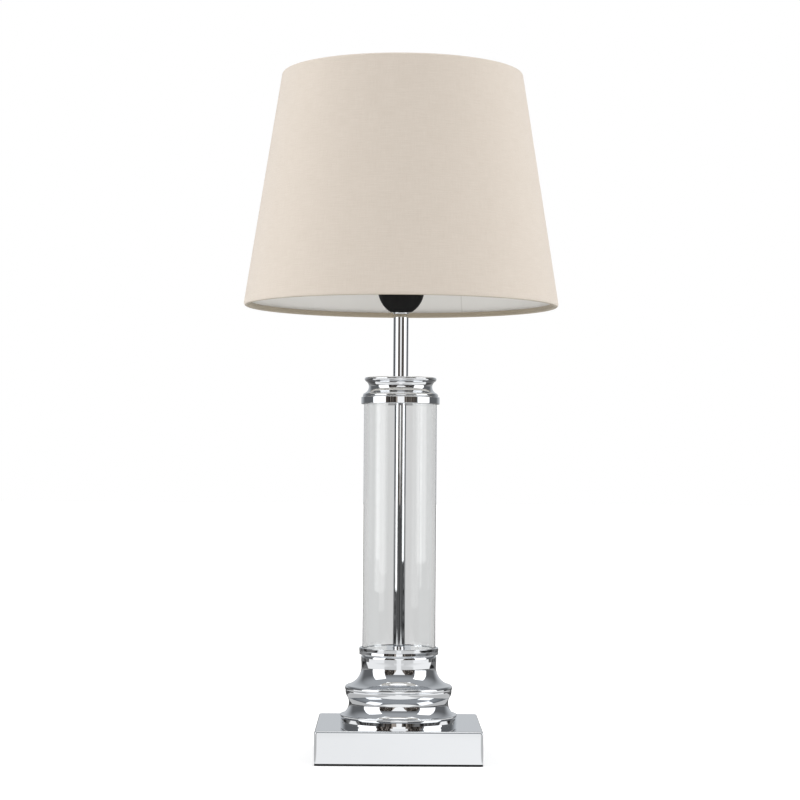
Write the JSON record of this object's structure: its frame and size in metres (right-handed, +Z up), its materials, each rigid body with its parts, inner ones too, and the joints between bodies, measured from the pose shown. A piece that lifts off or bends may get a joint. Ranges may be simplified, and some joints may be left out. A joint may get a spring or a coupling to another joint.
{
  "type": "table lamp",
  "caption": "Table lamp with a square chromed base, a turned foot, a clear glass column and a tapered fabric drum shade.",
  "frame": {"origin": "middle of the base's underside, on the floor", "axes": "+Z up along the column, -Y the pictured front, +X to the right seen from the front"},
  "size_m": [0.2494, 0.2494, 0.5402],
  "materials": {
    "chrome": "mirror polished",
    "glass": "clear, polished",
    "cloth": "plain woven cream cloth, laminated",
    "liner": "smooth white liner",
    "foam": "fine closed-cell foam",
    "seal": "translucent silicone",
    "zinc": "bright zinc plated",
    "iron": "as cast",
    "black_plastic": "satin moulded",
    "brass": "pressed, bright",
    "white_metal": "white powder coat"
  },
  "bodies": {
    "lamp": {"base_pad": "foam", "base_cover": "zinc", "cover_screws": "zinc", "base_shell": "chrome", "ballast": "iron", "cord_bush": "black_plastic", "tie_washer": "zinc", "tie_nut": "zinc", "tie_tube": "chrome", "foot": "chrome", "glass_seat": "chrome", "glass_gasket_low": "seal", "glass_tube": "glass", "glass_gasket_high": "seal", "necking_ring": "chrome", "column_washer": "zinc", "column_nut": "zinc", "capital": "chrome", "stem_tube": "chrome", "stem_ferrule": "chrome", "holder_cap": "black_plastic", "holder_skirt": "black_plastic", "holder_insert": "black_plastic", "terminals": "brass", "terminal_screws": "zinc", "screw_shell": "brass", "contact_rivet": "brass"},
    "contact": {"contact_leaf": "brass"},
    "ring_nut": {"shade_ring_nut": "black_plastic"},
    "shade": {"shade_fitter": "white_metal", "shade_arms": "white_metal", "shade_wire_low": "white_metal", "shade_wire_high": "white_metal", "shade_cover": "cloth", "shade_lining": "liner"}
  },
  "joints": [
    {"name": "shade_turn", "type": "hinge", "parent": "lamp", "child": "shade", "pos_m": [0, 0, 0.3731], "axis": [0, 0, 1], "continuous": true},
    {"name": "ring_nut_turn", "type": "hinge", "parent": "lamp", "child": "ring_nut", "pos_m": [0, 0, 0.3784], "axis": [0, 0, 1], "continuous": true},
    {"name": "contact_press", "type": "hinge", "parent": "lamp", "child": "contact", "pos_m": [-0.0044, 0, 0.37475], "axis": [0, 1, 0], "range_deg": [0, 9], "stiffness_Nm_per_rad": 0.05}
  ]
}
